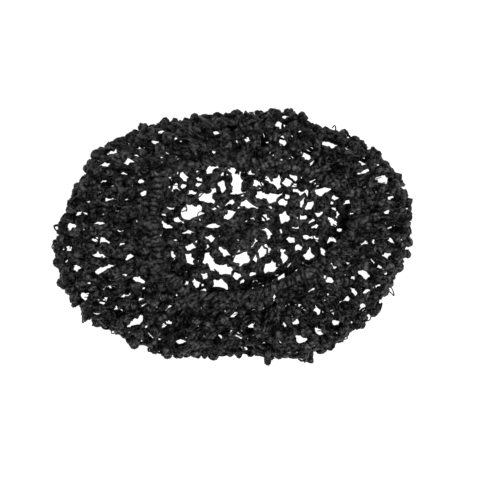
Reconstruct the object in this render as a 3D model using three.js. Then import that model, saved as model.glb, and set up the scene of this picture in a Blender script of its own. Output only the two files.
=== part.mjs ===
// A crochet hair snood in black tape yarn, lying on its crown with the mouth up, in millimetres.
// The net is one pouch. A closed centre starts the flat crown, the sides roll outward and over,
// and the last rounds are gathered in to a ribbed band round the mouth. +Z is up, +X runs along
// the length, and the origin is on the surface that it lies on, under the middle of the pouch.
import * as THREE from "three";
import { mergeVertices } from "three/addons/utils/BufferGeometryUtils.js";

// The pouch as it lies, outside the net.
const LENGTH = 200;
const WIDTH = 140;
const HEIGHT = 38;

// The mouth inside its band, and how far its middle lies from the pouch's.
const MOUTH_LENGTH = 108;
const MOUTH_WIDTH = 68;
const MOUTH_X = 12;
const MOUTH_Y = 4;
const MOUTH_DIP = 6; // the band lies this much lower than the roll round it

// The band: tight stitches over an elastic cord, which make cross ribs.
const BAND_WIDTH = 8.5;
const BAND_THICKNESS = 5.2;
const RIB_DEPTH = 0.5;

// The closed centre of the crown, where the work starts.
const CENTRE_X = 5.5;
const CENTRE_Y = 2.5;
const CENTRE_RADIUS = 10.5;
const EYELET_RADIUS = 1.6;
const CENTRE_CLUSTERS = 10;
const CLUSTER_DEPTH = 0.9;

// Its section from the eyelet to the rim: out is the share of the way, up the share of NET_WALL.
const CENTRE_PROFILE = [
  { out: 0, up: 0 },
  { out: 1, up: 0 },
  { out: 1, up: 0.7 },
  { out: 0.7, up: 1 },
  { out: 0, up: 0.84 },
];

// The net: the wall is thickest at the knots, where strands meet.
const NET_WALL = 4.6;
const STRAND_SHARE = 0.84; // wall between two knots, as a share of NET_WALL
const GAP_EDGE_SHARE = 0.5; // wall at the edge of a gap
const ROLL_RUN_LOW = 16; // how far the sides leave the floor inside the outline
const ROLL_RUN_TOP = 14; // how far inside the outline the roll is highest
const WIDEST_SHARE = 0.46; // height at which the roll is widest, as a share of its rise
const SCALLOP_DEPTH = 0.8; // knots stand proud of the outline, and strands lie back
const GATHER_DEPTH = 1.7; // ruffles where the net is drawn in to the band
const JOIN_GAP = 0.3; // between two pieces

// Columns of the first round. Each of the next two rounds doubles them.
const FIRST_COLUMNS = 5;
const NET_COLUMNS = FIRST_COLUMNS * 4;
const STEPS = NET_COLUMNS * 4; // the finest division round the pouch
const BAND_RIBS = STEPS;

// The shape round the pouch, every 22.5 degrees from +X, anticlockwise. outline and mouth are
// shares of the half axes of their ovals, and roll is a share of the highest roll.
const SECTIONS = [
  { outline: 0.99, mouth: 0.95, roll: 0.9 },
  { outline: 1.03, mouth: 1.07, roll: 0.94 },
  { outline: 1.01, mouth: 0.99, roll: 0.97 },
  { outline: 1.04, mouth: 0.95, roll: 0.98 },
  { outline: 0.96, mouth: 0.95, roll: 1.0 },
  { outline: 0.98, mouth: 1.07, roll: 0.98 },
  { outline: 0.99, mouth: 1.17, roll: 0.93 },
  { outline: 0.95, mouth: 1.02, roll: 0.9 },
  { outline: 0.99, mouth: 0.92, roll: 0.92 },
  { outline: 1.03, mouth: 0.98, roll: 0.9 },
  { outline: 1.06, mouth: 1.1, roll: 0.93 },
  { outline: 1.05, mouth: 1.13, roll: 0.98 },
  { outline: 0.98, mouth: 0.97, roll: 1.0 },
  { outline: 1.06, mouth: 0.85, roll: 0.97 },
  { outline: 1.02, mouth: 0.83, roll: 0.93 },
  { outline: 0.99, mouth: 0.86, roll: 0.9 },
];

// Creases that run across the roll: where (degrees), how wide (degrees), and how far the roll
// sinks and the outline draws in there, as shares.
const CREASES = [
  { at: 62, spread: 7, sink: 0.16, draw: 0.012 },
  { at: 126, spread: 8, sink: 0.14, draw: 0.015 },
  { at: 205, spread: 9, sink: 0.1, draw: 0.01 },
  { at: 243, spread: 8, sink: 0.2, draw: 0.015 },
  { at: 274, spread: 6, sink: 0.16, draw: 0.015 },
  { at: 331, spread: 8, sink: 0.12, draw: 0.01 },
];

// Places on the net, from 0 at the rim of the closed centre. Up to 1 they are shares of the flat
// run, and after it they go on as shares of the roll.
const LIFT_SHARE = 1; // where the sides leave the floor
const GATHER_SHARE = 1.4; // where the ruffles start
const BAND_SHARE = 2; // the band's outer edge

// The rounds of the net, from the centre out. edge is the place where a round ends. wide and
// long are the gap's share of its mesh, and sides is how many straight pieces follow the side
// of a mesh.
const ROUNDS = [
  { net: "crown_net", columns: 1, edge: 0.3, wide: 0.6, long: 0.6, sides: 2 },
  { net: "crown_net", columns: 2, edge: 0.63, wide: 0.62, long: 0.62, sides: 2 },
  { net: "crown_net", columns: 4, edge: 1.0, wide: 0.62, long: 0.62, sides: 2 },
  { net: "side_net", columns: 4, edge: 1.25, wide: 0.6, long: 0.58, sides: 3 },
  { net: "side_net", columns: 4, edge: 1.5, wide: 0.58, long: 0.56, sides: 3 },
  { net: "rim_net", columns: 4, edge: 1.75, wide: 0.56, long: 0.54, sides: 3 },
  { net: "rim_net", columns: 4, edge: 2.0, wide: 0.52, long: 0.5, sides: 2 },
];
const SINK_AT_BAND = 0.45; // share of a crease's sink that is left at the band
const GAP_ROUNDNESS = 2.3; // 2 is an ellipse, and more is squarer
const GAP_VARIES = 0.13; // hand-worked gaps differ by this share, in a wave
const WAVE_BY_COLUMN = 2.7; // how far the wave turns from column to column, in radians
const WAVE_BY_ROUND = 4.1; // and from round to round

const FLOOR_LINE = NET_WALL / 2; // height of the middle of the net where it lies on the floor
const FULL_TURN = 2 * Math.PI;
const QUARTER_SHARE = 0.5523; // Bezier handle of a quarter circle
const EASY_SHARE = 1 / 3; // Bezier handle of a run that hardly bends
const DIP_SHARE = 0.6; // share of MOUTH_DIP still to fall at the last handle before the band
const SLOPE_SHARE = 0.004; // step that finds how the net runs, in radians and in places
const INSET_SHARE = 0.01; // how far inside its edge a piece's speed is read, in places
const SAME_ANGLE = 1e-7; // angles this close share one line, in radians
const SAME_CORNER = 1e-3; // corners this close are one, in mm

// Blacks, as shares of white. They lean very slightly to blue.
const TONES = { centre: 0.13, net: 0.14, band: 0.16, blueLean: 1.04 };
const ROUGHNESS = { net: 0.72, band: 0.66 };

// A column of SECTIONS at any angle, by a smooth closed curve through its rows.
function around(column, angle) {
  const place = (((angle / FULL_TURN) % 1) + 1) % 1 * SECTIONS.length;
  const row = Math.floor(place);
  const t = place - row;
  const at = (k) => SECTIONS[(row + k + SECTIONS.length) % SECTIONS.length][column];
  const [a, b, c, d] = [at(-1), at(0), at(1), at(2)];
  return b + 0.5 * t * (c - a + t * (2 * a - 5 * b + 4 * c - d + t * (3 * (b - c) + d - a)));
}

// How deep a crease is at an angle, summed over CREASES.
function crease(column, angle) {
  return CREASES.reduce((sum, row) => {
    const away = THREE.MathUtils.radToDeg(angle) - row.at;
    const turned = ((away % 360) + 540) % 360 - 180;
    return sum + row[column] * Math.exp(-((turned / row.spread) ** 2));
  }, 0);
}

// The middle of the net's wall at the outline.
function outlinePoint(angle) {
  const share = around("outline", angle) * (1 - crease("draw", angle));
  return new THREE.Vector3(
    (LENGTH / 2 - FLOOR_LINE) * share * Math.cos(angle),
    (WIDTH / 2 - FLOOR_LINE) * share * Math.sin(angle),
    0,
  );
}

// The middle of the band.
function mouthPoint(angle) {
  const share = around("mouth", angle);
  return new THREE.Vector3(
    MOUTH_X + (MOUTH_LENGTH / 2 * share + BAND_WIDTH / 2) * Math.cos(angle),
    MOUTH_Y + (MOUTH_WIDTH / 2 * share + BAND_WIDTH / 2) * Math.sin(angle),
    0,
  );
}

function atHeight(point, z) {
  return point.clone().setZ(z);
}

// The line that the net follows from the centre to the band at one angle: where it lies on the
// floor, and then the roll, as three cubic curves with level and upright ends.
const meridians = new Map();
function meridian(angle) {
  const key = Math.round(angle / SAME_ANGLE);
  if (meridians.has(key)) return meridians.get(key);
  const centre = new THREE.Vector3(CENTRE_X, CENTRE_Y, FLOOR_LINE);
  const outline = outlinePoint(angle);
  const mouth = mouthPoint(angle);
  const sink = crease("sink", angle);
  const rise = (HEIGHT - NET_WALL - GATHER_DEPTH) * around("roll", angle);
  const crest = FLOOR_LINE + rise * (1 - sink);
  const widest = FLOOR_LINE + (crest - FLOOR_LINE) * WIDEST_SHARE;
  const inward = centre.clone().sub(outline).setZ(0).normalize();
  const towardMouth = mouth.clone().sub(outline).normalize();
  const lift = atHeight(outline.clone().addScaledVector(inward, ROLL_RUN_LOW), FLOOR_LINE);
  const side = atHeight(outline, widest);
  const top = atHeight(outline.clone().addScaledVector(towardMouth, ROLL_RUN_TOP), crest);
  const band = atHeight(mouth, FLOOR_LINE + rise * (1 - sink * SINK_AT_BAND) - MOUTH_DIP);
  const reach = top.distanceTo(band);
  const roll = new THREE.CurvePath();
  roll.add(new THREE.CubicBezierCurve3(
    lift,
    lift.clone().addScaledVector(inward, -ROLL_RUN_LOW * QUARTER_SHARE),
    atHeight(side, widest - (widest - FLOOR_LINE) * QUARTER_SHARE),
    side,
  ));
  roll.add(new THREE.CubicBezierCurve3(
    side,
    atHeight(side, widest + (crest - widest) * QUARTER_SHARE),
    top.clone().addScaledVector(towardMouth, -ROLL_RUN_TOP * QUARTER_SHARE),
    top,
  ));
  roll.add(new THREE.CubicBezierCurve3(
    top,
    top.clone().addScaledVector(towardMouth, reach * EASY_SHARE),
    atHeight(band.clone().lerp(top, EASY_SHARE), band.z + MOUTH_DIP * DIP_SHARE),
    band,
  ));
  const made = { centre, lift, roll, length: roll.getLength() };
  meridians.set(key, made);
  return made;
}

// A hump over the places from one to another: 0 at both ends and 1 half way.
function humpAt(place, from, to) {
  return Math.sin(Math.PI * THREE.MathUtils.clamp((place - from) / (to - from), 0, 1)) ** 2;
}

// The middle of the net at a place. A place just under 0 is inside the closed centre.
function netPoint(angle, place) {
  const { centre, lift, roll, length } = meridian(angle);
  if (place <= LIFT_SHARE) {
    const out = lift.clone().sub(centre);
    const reach = out.length();
    const distance = THREE.MathUtils.lerp(CENTRE_RADIUS, reach, place);
    return centre.clone().addScaledVector(out.normalize(), distance);
  }
  const rolled = (place - LIFT_SHARE) / (BAND_SHARE - LIFT_SHARE);
  const point = roll.getPointAt(Math.min(rolled * (1 - BAND_WIDTH / 2 / length), 1));
  const ruffled = humpAt(place, GATHER_SHARE, BAND_SHARE);
  const knotted = humpAt(place, LIFT_SHARE, BAND_SHARE);
  point.z += GATHER_DEPTH * ruffled * Math.cos(NET_COLUMNS / 2 * angle);
  const scallop = SCALLOP_DEPTH * knotted * (Math.cos(NET_COLUMNS * angle) - 1) / 2;
  const outward = point.clone().sub(centre).setZ(0).normalize();
  return point.addScaledVector(outward, scallop);
}

// How the net runs at a point: along is away from the centre, facing is out of the pouch, and
// speed is millimetres for each unit of place.
function netFrame(angle, place) {
  const ahead = Math.min(SLOPE_SHARE, BAND_SHARE - place);
  const along = netPoint(angle, place + ahead).sub(netPoint(angle, place - SLOPE_SHARE));
  const speed = along.length() / (SLOPE_SHARE + ahead);
  const across = netPoint(angle + SLOPE_SHARE, place).sub(netPoint(angle - SLOPE_SHARE, place));
  const facing = across.cross(along).normalize();
  return { along: along.normalize(), facing, speed };
}

// A point on the outside (side 1) or the inside (side -1) of the net's wall.
function wallPoint(angle, place, side, share) {
  const { facing } = netFrame(angle, place);
  return netPoint(angle, place).addScaledVector(facing, side * share * NET_WALL / 2);
}

// Collects flat faces and closes them into one indexed geometry.
class Faces {
  positions = [];

  quad(a, b, c, d) {
    for (const p of [a, b, c, a, c, d]) this.positions.push(p.x, p.y, p.z);
  }

  geometry() {
    const loose = new THREE.BufferGeometry();
    loose.setAttribute("position", new THREE.Float32BufferAttribute(this.positions, 3));
    const closed = mergeVertices(loose, SAME_CORNER);
    closed.computeVertexNormals();
    return closed;
  }
}

// Rounds with their places, and the ring of points that each shares with its neighbours. Every
// second round starts half a mesh further round, as crochet rounds do.
function layRounds() {
  let from = 0;
  return ROUNDS.map((round, index) => {
    const columns = round.columns * FIRST_COLUMNS;
    const pitch = STEPS / columns;
    const laid = { ...round, from, columns, pitch, start: index % 2 ? pitch / 2 : 0 };
    from = round.edge;
    return laid;
  });
}

// The step between the points of the ring after a round, so that both neighbours' knots are on it.
function ringStep(before, after) {
  return Math.min(before ? before.pitch / 4 : Infinity, after ? after.pitch / 2 : Infinity);
}

function isKnot(step, round) {
  return round !== undefined && (step - round.start + STEPS) % round.pitch === 0;
}

// One net node: every mesh of its rounds has an outside, an inside and the wall round its gap.
function netGeometry(name) {
  const laid = layRounds();
  const faces = new Faces();
  const angleOf = (step) => (((step % STEPS) + STEPS) % STEPS) / STEPS * FULL_TURN;
  laid.forEach((round, index) => {
    if (round.net !== name) return;
    const before = laid[index - 1];
    const after = laid[index + 1];
    const opens = !before || before.net !== name;
    const closes = !after || after.net !== name;
    const inset = (angle, place, way) =>
      place + way * JOIN_GAP / 2 / netFrame(angle, place + way * INSET_SHARE).speed;
    const lowStep = before ? ringStep(before, round) : round.pitch / 8;
    const highStep = after ? ringStep(round, after) : round.pitch / 4;

    // A point of a ring: its angle, its place, and how thick the wall is there.
    const ringPoint = (step, place, near, far, way) => {
      const angle = angleOf(step);
      const knot = isKnot(step, near) || isKnot(step, far);
      return {
        angle,
        place: way ? inset(angle, place, way) : place,
        share: knot ? 1 : STRAND_SHARE,
      };
    };
    for (let column = 0; column < round.columns; column += 1) {
      const left = round.start + column * round.pitch;
      const right = left + round.pitch;
      const low = [];
      for (let s = left; s <= right; s += lowStep) {
        low.push({ step: s, ...ringPoint(s, round.from, before, round, opens ? 1 : 0) });
      }
      const high = [];
      for (let s = left; s <= right; s += highStep) {
        high.push({ step: s, ...ringPoint(s, round.edge, round, after, closes ? -1 : 0) });
      }
      const sideOf = (from, to) => {
        const points = [];
        for (let k = 1; k < round.sides; k += 1) {
          points.push({
            step: from.step,
            angle: from.angle,
            place: THREE.MathUtils.lerp(from.place, to.place, k / round.sides),
            share: STRAND_SHARE,
          });
        }
        return points;
      };
      const loop = [
        ...low,
        ...sideOf(low.at(-1), high.at(-1)),
        ...high.toReversed(),
        ...sideOf(high[0], low[0]),
      ];
      const varied = GAP_VARIES * Math.sin(WAVE_BY_COLUMN * column + WAVE_BY_ROUND * index);
      const depth = round.edge - round.from;

      // The gap's edge: each point of the loop, drawn in to a rounded square in the mesh's middle.
      const gap = loop.map((point) => {
        const x = (point.step - left) / round.pitch * 2 - 1;
        const y = (point.place - round.from) / depth * 2 - 1;
        const size = (Math.abs(x) ** GAP_ROUNDNESS + Math.abs(y) ** GAP_ROUNDNESS)
          ** (-1 / GAP_ROUNDNESS);
        const sideways = x * size * round.wide * (1 + varied);
        const outward = y * size * round.long * (1 - varied);
        return {
          angle: (left + round.pitch * (1 + sideways) / 2) / STEPS * FULL_TURN,
          place: round.from + depth * (1 + outward) / 2,
          share: GAP_EDGE_SHARE,
        };
      });
      const place3d = (point, side) => wallPoint(point.angle, point.place, side, point.share);
      const outerLoop = loop.map((p) => place3d(p, 1));
      const innerLoop = loop.map((p) => place3d(p, -1));
      const outerGap = gap.map((p) => place3d(p, 1));
      const innerGap = gap.map((p) => place3d(p, -1));
      loop.forEach((point, k) => {
        const next = (k + 1) % loop.length;
        faces.quad(outerLoop[k], outerLoop[next], outerGap[next], outerGap[k]);
        faces.quad(innerLoop[next], innerLoop[k], innerGap[k], innerGap[next]);
        faces.quad(outerGap[k], outerGap[next], innerGap[next], innerGap[k]);
        const onLow = k < low.length - 1;
        const highStart = low.length + round.sides - 1;
        const onHigh = k >= highStart && k < highStart + high.length - 1;
        if (onLow && opens) {
          faces.quad(innerLoop[k], innerLoop[next], outerLoop[next], outerLoop[k]);
        }
        if (onHigh && closes) {
          faces.quad(innerLoop[next], outerLoop[next], outerLoop[k], innerLoop[k]);
        }
      });
    }
  });
  return faces.geometry();
}

// A closed ring made by carrying a closed section round the full turn.
function ringGeometry(turns, sectionAt) {
  const faces = new Faces();
  const sections = Array.from({ length: turns }, (_, k) => sectionAt(k / turns * FULL_TURN, k));
  sections.forEach((section, k) => {
    const next = sections[(k + 1) % turns];
    section.forEach((point, j) => {
      const up = (j + 1) % section.length;
      faces.quad(point, next[j], next[up], section[up]);
    });
  });
  return faces.geometry();
}

// The closed centre: a flat underside, a domed and clustered top, and an eyelet in the middle.
function crownCentreGeometry() {
  const turnsPerCluster = 4;
  const rim = CENTRE_RADIUS - JOIN_GAP / 2;
  return ringGeometry(CENTRE_CLUSTERS * turnsPerCluster, (angle) => {
    const hollow = (1 - Math.cos(CENTRE_CLUSTERS * angle)) / 2;
    return CENTRE_PROFILE.map(({ out, up }) => {
      const radius = THREE.MathUtils.lerp(EYELET_RADIUS, rim, out);
      const height = up > 0 ? NET_WALL * up - CLUSTER_DEPTH * hollow * out : 0;
      return new THREE.Vector3(
        CENTRE_X + radius * Math.cos(angle),
        CENTRE_Y + radius * Math.sin(angle),
        height,
      );
    });
  });
}

// The band: a flattened tube along the mouth, pinched between its cross ribs.
function rimBandGeometry() {
  const stepsPerRib = 2;
  const sectionPoints = 6;
  const flat = Math.cos(Math.PI / sectionPoints);
  return ringGeometry(BAND_RIBS * stepsPerRib, (angle, k) => {
    const { along, facing } = netFrame(angle, BAND_SHARE);
    const middle = netPoint(angle, BAND_SHARE).addScaledVector(along, BAND_WIDTH / 2);
    const pinch = k % stepsPerRib ? RIB_DEPTH : 0;
    const section = [];
    for (let j = 0; j < sectionPoints; j += 1) {
      const turn = (j + 0.5) / sectionPoints * FULL_TURN;
      section.push(middle.clone()
        .addScaledVector(along, (JOIN_GAP - BAND_WIDTH) / 2 * Math.cos(turn) / flat)
        .addScaledVector(facing, (BAND_THICKNESS / 2 - pinch) * Math.sin(turn) / flat));
    }
    return section;
  });
}

// Black tape yarn, matt with a faint lustre where the filaments lie flat.
function yarnMaterial(tone, roughness) {
  return new THREE.MeshStandardMaterial({
    color: new THREE.Color().setRGB(tone, tone, tone * TONES.blueLean, THREE.SRGBColorSpace),
    roughness,
    metalness: 0,
  });
}

function piece(name, geometry, material) {
  const mesh = new THREE.Mesh(geometry, material);
  mesh.name = name;
  return mesh;
}

const snood = new THREE.Group();
snood.name = "crochet_hair_snood";
snood.add(
  piece("crown_centre", crownCentreGeometry(), yarnMaterial(TONES.centre, ROUGHNESS.net)),
  piece("crown_net", netGeometry("crown_net"), yarnMaterial(TONES.net, ROUGHNESS.net)),
  piece("side_net", netGeometry("side_net"), yarnMaterial(TONES.net, ROUGHNESS.net)),
  piece("rim_net", netGeometry("rim_net"), yarnMaterial(TONES.net, ROUGHNESS.net)),
  piece("rim_band", rimBandGeometry(), yarnMaterial(TONES.band, ROUGHNESS.band)),
);

// The origin is under the middle of the pouch.
const extent = new THREE.Box3().setFromObject(snood, true);
const middle = extent.getCenter(new THREE.Vector3());
snood.position.set(-middle.x, -middle.y, -extent.min.z);

export default snood;
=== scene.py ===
"""Looks of a crochet hair snood in black tape yarn, lying on its crown with its mouth up.

The yarn follows nearly the same pouch as the solids. A flat map of the pouch, with its centre in
the middle and its band at the rim, is filled with gaps. Yarn runs between the gaps, and is
knotted where it meets. The map is then laid on the pouch. Lengths are in millimetres, except in
materials, the floor and the lamps, which are in metres.
"""

import math

import bpy
import numpy as np
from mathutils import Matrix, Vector
from mathutils.geometry import delaunay_2d_cdt


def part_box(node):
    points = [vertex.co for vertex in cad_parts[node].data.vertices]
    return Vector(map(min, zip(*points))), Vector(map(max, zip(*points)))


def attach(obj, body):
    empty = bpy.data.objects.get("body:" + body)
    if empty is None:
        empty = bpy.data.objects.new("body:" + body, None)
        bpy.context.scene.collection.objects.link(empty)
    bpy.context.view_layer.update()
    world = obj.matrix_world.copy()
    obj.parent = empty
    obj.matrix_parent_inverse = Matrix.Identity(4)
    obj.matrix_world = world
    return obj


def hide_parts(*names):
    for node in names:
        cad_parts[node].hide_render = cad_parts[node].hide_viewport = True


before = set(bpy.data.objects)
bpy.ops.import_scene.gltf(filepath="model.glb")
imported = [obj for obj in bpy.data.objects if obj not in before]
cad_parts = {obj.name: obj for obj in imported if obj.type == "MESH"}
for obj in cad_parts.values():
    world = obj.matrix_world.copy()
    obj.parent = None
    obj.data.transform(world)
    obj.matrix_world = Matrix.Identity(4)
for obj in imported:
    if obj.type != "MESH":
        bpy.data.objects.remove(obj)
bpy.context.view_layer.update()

MM = 0.001
TURN = 2 * math.pi
TINY = 1e-9
FAR = 1e3
UP = np.array([0.0, 0.0, 1.0])
rng = np.random.default_rng(12)

# The pouch, with the sizes and shares of the solids.
LENGTH = 200
WIDTH = 140
HEIGHT = 38
MOUTH_LENGTH = 108
MOUTH_WIDTH = 68
MOUTH_PLACE = np.array([12.0, 4.0])
MOUTH_DIP = 6
BAND_WIDTH = 8.5
BAND_THICKNESS = 5.2
CENTRE_PLACE = np.array([5.5, 2.5])
CENTRE_RADIUS = 10.5
NET_WALL = 4.6
ROLL_RUN_LOW = 16
ROLL_RUN_TOP = 14
WIDEST_SHARE = 0.46
GATHER_DEPTH = 1.7
GATHERS = 10
SINK_AT_BAND = 0.45
HALF_WALL = NET_WALL / 2
QUARTER_HANDLE = 0.5523
BAND_HANDLE = 0.6

# Every 22.5 degrees from +X: shares of the half axes of the outline and of the mouth, and of the
# highest roll. Some of the outline's differ from the solids' by up to 0.02, because knots stand
# out of it.
SECTIONS = np.array([
    # outline, mouth, roll
    [0.99, 0.95, 0.90],
    [1.04, 1.07, 0.94],
    [1.03, 0.99, 0.97],
    [1.04, 0.95, 0.98],
    [0.96, 0.95, 1.00],
    [0.97, 1.07, 0.98],
    [1.01, 1.17, 0.93],
    [0.94, 1.02, 0.90],
    [0.97, 0.92, 0.92],
    [1.04, 0.98, 0.90],
    [1.04, 1.10, 0.93],
    [1.04, 1.13, 0.98],
    [0.97, 0.97, 1.00],
    [1.06, 0.85, 0.97],
    [1.03, 0.83, 0.93],
    [0.99, 0.86, 0.90],
])
OUTLINE, MOUTH, ROLL = range(3)

# Creases across the roll: where and how wide in degrees, and how far the roll sinks and the
# outline draws in, as shares.
CREASES = np.array([
    # at, spread, sink, draw
    [62, 7, 0.16, 0.012],
    [126, 8, 0.14, 0.015],
    [205, 9, 0.10, 0.010],
    [243, 8, 0.20, 0.015],
    [274, 6, 0.16, 0.015],
    [331, 8, 0.12, 0.010],
    # the sharper folds of the yarn, which the solids leave out
    [20, 3.0, 0.12, 0],
    [54, 2.6, 0.16, 0],
    [104, 2.6, 0.12, 0],
    [120, 3.0, 0.10, 0],
    [150, 3.0, 0.10, 0],
    [171, 2.6, 0.12, 0],
    [214, 2.6, 0.12, 0],
    [243, 2.2, 0.16, 0],
    [261, 2.6, 0.12, 0],
    [283, 2.4, 0.16, 0],
    [300, 2.6, 0.12, 0],
    [317, 2.6, 0.12, 0],
    [346, 2.6, 0.12, 0],
])
AT, SPREAD, SINK, DRAW = range(4)

# A place along the pouch is a number: 0 is the centre, 1 the edge of the flat crown, and 2 the
# band. These are the places up to which the net counts as flat and as side, and those where it is
# ruffled, puckered and sunk beside the band.
BAND_PLACE = 2
FLAT_PLACE = 1.2
SIDE_PLACE = 1.5
RUFFLE_START, RUFFLE_SPAN = 1.4, 0.6
PUCKER_START, PUCKER_RISE, PUCKER_FALL = 1.1, 0.2, 0.12
TRENCH_START, TRENCH_SPAN = 1.84, 0.16

# How far the yarn swells out of the solids' middle, puckers, and sinks beside the band. The
# puckers' hills reach over some rows and columns of the pouch's table.
SWELL = 0.1
PUCKER = 1.1
HILL_ROWS, HILL_COLUMNS = 2.4, 6
HILL_LIMITS = (-2.2, 1.2)
TRENCH = 2.3

# The larger gaps that show the floor, in plan from the frame's origin.
CROWN_GAPS = np.array([
    # across, up the picture, how wide, how high, turn in degrees
    [-26.6, 33.0, 4, 6, 0],
    [-27.5, 27.4, 7, 4, 0],
    [-13.1, 35.7, 6, 4, 10],
    [-4.4, 34.3, 6, 3.5, 0],
    [-5.6, 27.0, 6, 10.5, 0],
    [-18.7, 28.6, 6.5, 3.5, 30],
    [-16.7, 21.4, 6, 6, -30],
    [0.3, 18.7, 5, 5.5, 20],
    [4.7, 29.8, 3, 11, 0],
    [-23.4, 12.2, 15, 8, 0],
    [-8.8, 15.1, 7.5, 3, 25],
    [-0.1, 12.4, 3.5, 3, 0],
    [10.3, 16.7, 8, 4, -10],
    [13.6, 29.0, 6, 5, 45],
    [20.0, 31.8, 8, 3.5, 5],
    [23.8, 21.4, 12, 5.5, 28],
    [31.7, 21.7, 4.5, 3.5, -20],
    [17.0, 22.8, 5, 3.5, 25],
    [32.1, 29.4, 10, 4.5, -20],
    [49.6, 24.4, 6, 4.5, 0],
    [39.7, 18.3, 3.5, 8, -20],
    [56.7, 18.0, 4, 2.5, -20],
    [29.3, 10.3, 7, 8.5, 0],
    [18.6, 10.9, 5.5, 3, -25],
    [46.0, 7.9, 5, 4, -30],
    [56.7, 8.3, 9, 3, -40],
    [-23.8, 2.0, 9, 3, 0],
    [-11.2, -2.0, 4, 5, 0],
    [-6.0, -1.2, 4, 3, 20],
    [1.6, 4.4, 1.6, 3.5, 0],
    [21.0, 1.2, 4, 7, 10],
    [32.9, -2.0, 4, 4.5, 30],
    [46.0, -1.2, 5, 3, -25],
    [55.5, -2.6, 5, 4, 0],
    [-23.1, -6.7, 8, 4, 10],
    [-31.0, -3.9, 2.5, 5, 25],
    [-32.6, -12.3, 3.5, 8.5, 15],
    [-23.4, -14.8, 6.5, 4.5, -15],
    [-14.3, -12.3, 5, 10, -30],
    [-3.6, -9.9, 6, 4, -25],
    [6.3, -13.1, 8.5, 8, 0],
    [17.0, -9.1, 6.5, 7.5, 0],
    [29.3, -12.7, 5, 8, 10],
    [43.2, -11.5, 8, 7, 20],
    [-4.0, -19.8, 11.5, 7.5, 0],
    [20.2, -19.8, 6.5, 4.5, -10],
    [11.9, -21.8, 4, 3, 20],
    [-19.9, -27.4, 5.5, 7, 20],
    [32.1, -17.1, 3.5, 2.5, 30],
])
RING_GAPS = np.array([
    # across, up the picture, how wide, how high, turn in degrees
    [-55.9, 40.6, 5, 5, 0],
    [-61.0, 34.4, 4.5, 3.5, -20],
    [-66.6, 45.4, 4, 3, 0],
    [-76.6, 33.8, 3, 2.5, 0],
    [-66.4, 27.1, 3.5, 3.5, 20],
    [-67.9, 19.4, 4.5, 5, -30],
    [-49.0, 22.7, 3, 3.5, 0],
    [-62.4, 13.7, 2.5, 5, -35],
    [-71.4, 11.7, 6.5, 3.4, -20],
    [-88.8, 4.4, 7.5, 6, 20],
    [-73.6, 6.8, 6, 3.6, -15],
    [-53.8, 6.9, 5, 3, 20],
    [-73.1, -2.8, 10, 3.8, -5],
    [-90.6, -7.6, 7.2, 5, -10],
    [-71.7, -11.6, 9.5, 3.2, 5],
    [-55.3, -11.6, 3.5, 3, 0],
    [-71.7, -19.2, 7, 3.8, 15],
    [-86.9, -18.7, 5.5, 7, 30],
    [-91.8, -21.8, 3, 3, 0],
    [-50.4, -25.0, 8, 4.5, -25],
    [-66.6, -28.9, 6.5, 3, -15],
    [-81.8, -34.7, 3, 5.5, 25],
    [-59.2, -34.1, 3, 2.5, 40],
    [-60.1, -42.1, 9, 3.5, -10],
    [-53.2, -49.1, 3.5, 2.5, 0],
    [-35.6, -48.6, 5.5, 4, -20],
    [-45.3, -55.6, 7.5, 4, -30],
    [46.7, 63.2, 5.5, 4, 0],
    [57.5, 50.0, 9, 4, -30],
    [63.4, 48.3, 5, 3, -50],
    [42.2, 43.3, 5, 5, -30],
    [53.3, 41.1, 2, 4, 0],
    [56.1, 42.0, 2.2, 2.2, 0],
    [44.2, 51.4, 2.2, 2.2, 0],
    [86.3, 30.9, 2.5, 2.5, 0],
    [74.2, -4.2, 8.5, 3, 15],
    [87.7, -11.0, 5, 2.5, 0],
    [67.9, 11.8, 2.5, 4.5, 0],
    [96.4, 14.4, 2, 2, 0],
    [93.6, -2.8, 2, 2, 0],
    [43.6, -30.6, 5.5, 3, 15],
    [63.1, -36.5, 7, 2.5, 30],
    [80.8, -28.2, 4.5, 2.2, 25],
    [45.6, -42.1, 4, 2.2, 45],
    [47.5, -52.8, 6, 3.5, -45],
    [38.1, -57.9, 3.5, 3, 0],
    [26.6, -57.9, 5, 2.5, -40],
    [18.2, -59.9, 3.5, 2.5, 0],
    [66.6, -48.3, 2, 3.5, 0],
    [30.5, -38.1, 2, 2, 0],
    [23.0, -34.4, 3.5, 2, 0],
    [44.4, -50.2, 3, 2, 60],
    [86.4, -21.1, 2, 2.5, 0],
    [53.8, -25.6, 2, 2, 0],
    [22.2, -53.6, 3, 2, 0],
    [-15.9, 52.9, 3.5, 2.3, 0],
    [26.9, 62.2, 2.3, 2.3, 0],
    [11.1, 63.5, 2, 2.5, 0],
    [22.2, 44.4, 5, 3, -30],
    [-24.7, 46.8, 2, 2, 0],
    [-50.1, 56.3, 2, 2, 0],
    [-31.0, 43.4, 2, 2, 0],
    [-40.5, 43.9, 2, 2, 0],
    [33.6, 42.2, 2, 2.8, 0],
])

# Where the yarn lies denser, in plan from the frame's origin.
DENSE_SPOTS = np.array([
    # across, up the picture, how far it reaches
    [-20.0, 55.0, 15.0],
    [6.0, 57.0, 18.0],
    [28.0, 52.0, 9.0],
    [0.0, -48.0, 18.0],
    [-22.0, -46.0, 11.0],
    [18.0, -44.0, 13.0],
    [32.0, -24.0, 13.0],
    [14.0, -30.0, 9.0],
    [-3.0, -31.0, 9.0],
    [58.0, -30.0, 9.0],
])

# Knots that close the fold beside the band, in plan.
FOLD_KNOTS = np.array([
    # across, up the picture
    [-25.5, -38.5],
    [-22.5, -40.0],
    [-19.5, -41.0],
    [-22.0, -36.5],
])

# Puffs of loops that stand out at the lower edge.
PUFFS = np.array([
    # across, up the picture, height over the floor
    [20.5, -69.5, 14.0],
    [42.5, -67.8, 13.0],
])


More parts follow.
